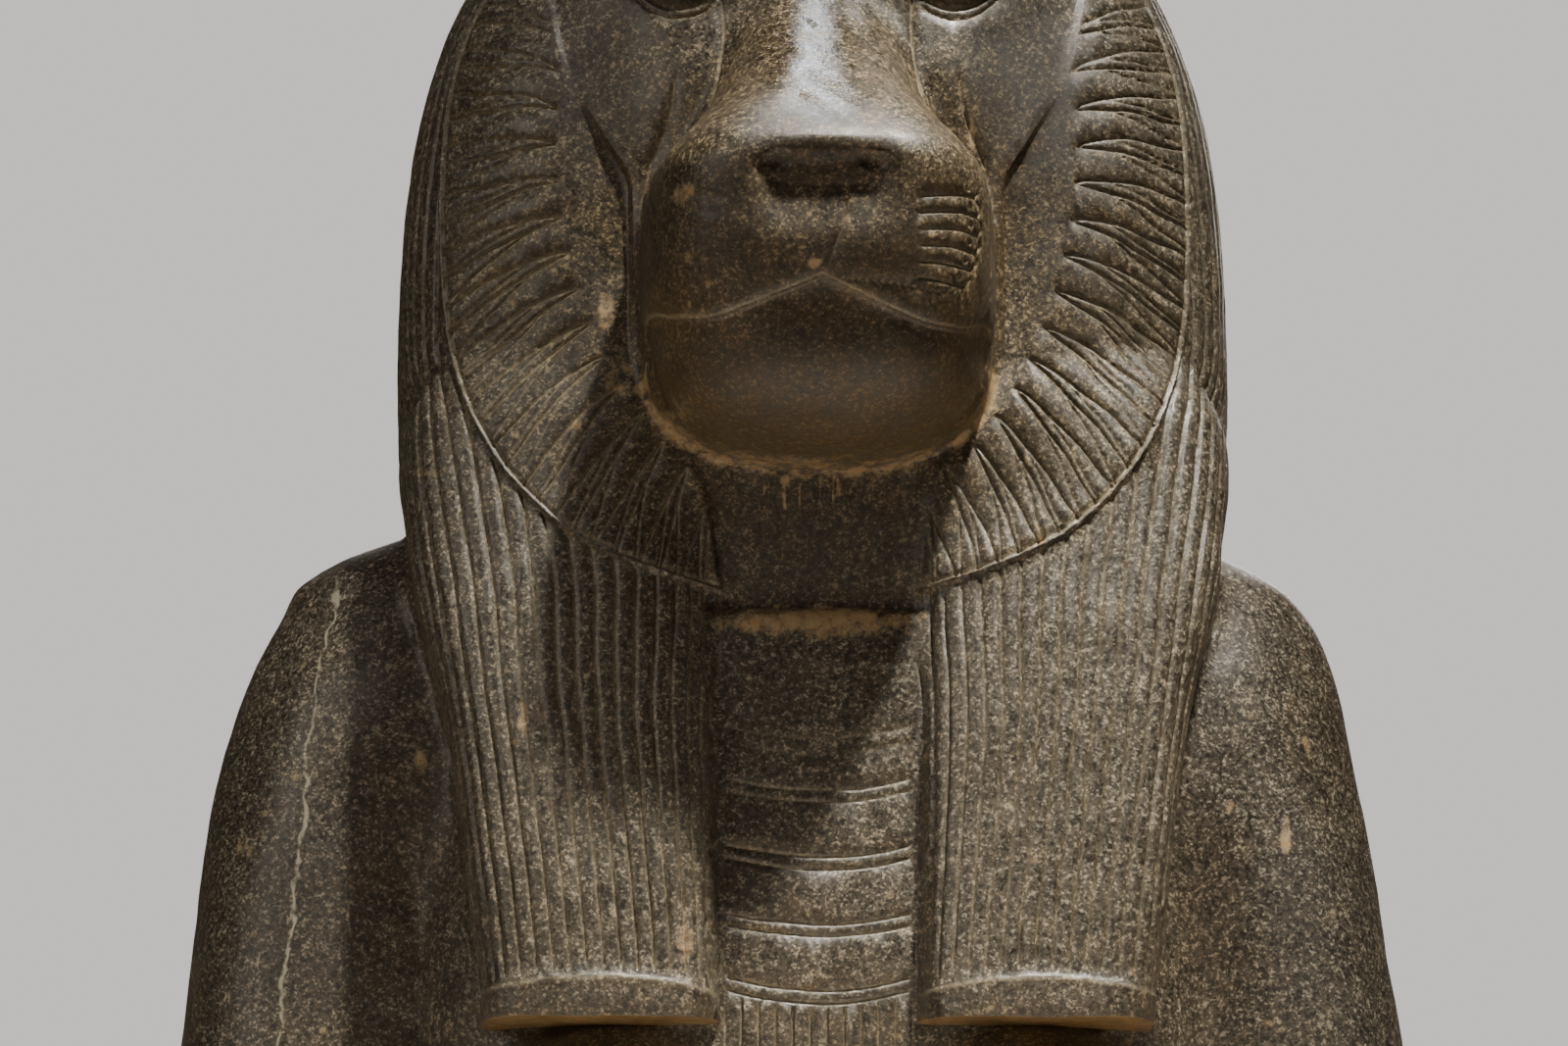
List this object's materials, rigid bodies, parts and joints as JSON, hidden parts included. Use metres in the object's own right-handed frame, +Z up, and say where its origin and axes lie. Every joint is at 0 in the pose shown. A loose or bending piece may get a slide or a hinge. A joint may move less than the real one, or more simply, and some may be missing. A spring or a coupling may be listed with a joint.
{
  "type": "sekhmet statue",
  "caption": "Bust of a lioness-headed goddess in dark stone, with a striped wig, a ruff of mane and a banded collar, on a flat underside.",
  "frame": {"origin": "middle of the bust's footprint, on the plane of its flat underside", "axes": "+Z up, the face looks along -Y, +X is to the right of someone facing the statue"},
  "size_m": [0.499, 0.3508, 0.6029],
  "materials": {
    "stone": "dark speckled granodiorite, worn polish"
  },
  "bodies": {
    "root": {"statue": "stone"}
  },
  "joints": []
}
